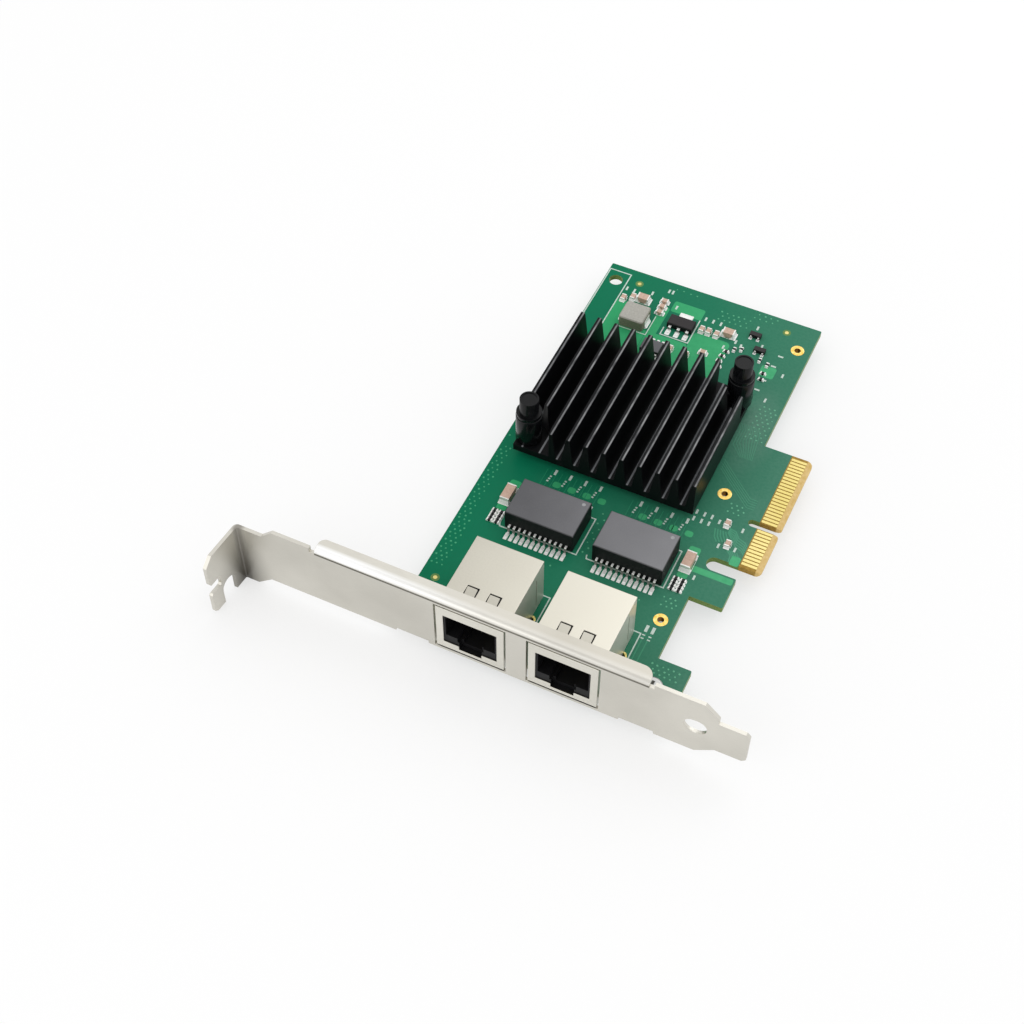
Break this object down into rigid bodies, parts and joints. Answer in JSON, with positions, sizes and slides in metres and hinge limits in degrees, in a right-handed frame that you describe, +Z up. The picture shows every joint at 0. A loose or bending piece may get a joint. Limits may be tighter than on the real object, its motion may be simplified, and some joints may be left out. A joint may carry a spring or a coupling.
{
  "type": "network interface card",
  "caption": "Expansion card with copper network ports on a full-height slot bracket, a finned heat sink held by push pins and a notched card edge.",
  "frame": {"origin": "middle of the key notch, on the end face of the card edge, at the height of the board's component face", "axes": "+X out of the card edge into the slot connector, +Y along the board away from the bracket, +Z up out of the component face; the card lies on its solder side"},
  "size_m": [0.121, 0.1337, 0.023],
  "materials": {
    "solder_mask": "semi-gloss solder mask over glass-fibre laminate",
    "gold_plate": "bright",
    "bracket_steel": "nickel plated, satin",
    "shield_metal": "tin plated, satin",
    "screw_steel": "zinc plated",
    "port_plastic": "moulded",
    "moulded_epoxy": "moulded",
    "tinned_lead": "tinned",
    "black_anodised": "black anodised",
    "pin_plastic": "gloss",
    "spring_steel": "bright",
    "thermal_rubber": "soft",
    "ferrite_grey": "pressed powder",
    "capacitor_ceramic": "fired ceramic",
    "resistor_black": "coated ceramic",
    "crystal_can": "nickel plated"
  },
  "bodies": {
    "root": {"circuit_board": "solder_mask", "edge_contacts_component_side": "gold_plate", "edge_contacts_solder_side": "gold_plate", "plated_holes": "gold_plate", "shield_leg_pads": "gold_plate", "bracket": "bracket_steel", "bracket_screws": "screw_steel", "heat_sink": "black_anodised", "thermal_pad": "thermal_rubber", "controller_chip": "moulded_epoxy", "clock_crystal": "crystal_can", "push_pin_springs": "spring_steel", "power_inductor": "ferrite_grey", "power_inductor_terminals": "tinned_lead", "voltage_regulator": "moulded_epoxy", "voltage_regulator_leads": "tinned_lead", "memory_chip": "moulded_epoxy", "memory_chip_leads": "tinned_lead", "transistor_bodies": "moulded_epoxy", "transistor_leads": "tinned_lead", "jack_shield_1": "shield_metal", "jack_housing_1": "port_plastic", "jack_contacts_1": "gold_plate", "lan_transformer_1": "moulded_epoxy", "lan_transformer_leads_1": "tinned_lead", "push_pin_1": "pin_plastic", "push_pin_barrel_1": "pin_plastic", "jack_shield_2": "shield_metal", "jack_housing_2": "port_plastic", "jack_contacts_2": "gold_plate", "lan_transformer_2": "moulded_epoxy", "lan_transformer_leads_2": "tinned_lead", "push_pin_2": "pin_plastic", "push_pin_barrel_2": "pin_plastic", "large_capacitor_bodies": "capacitor_ceramic", "large_capacitor_ends": "tinned_lead", "chip_capacitor_bodies": "capacitor_ceramic", "chip_capacitor_ends": "tinned_lead", "resistor_bodies": "resistor_black", "resistor_ends": "tinned_lead"}
  },
  "joints": []
}
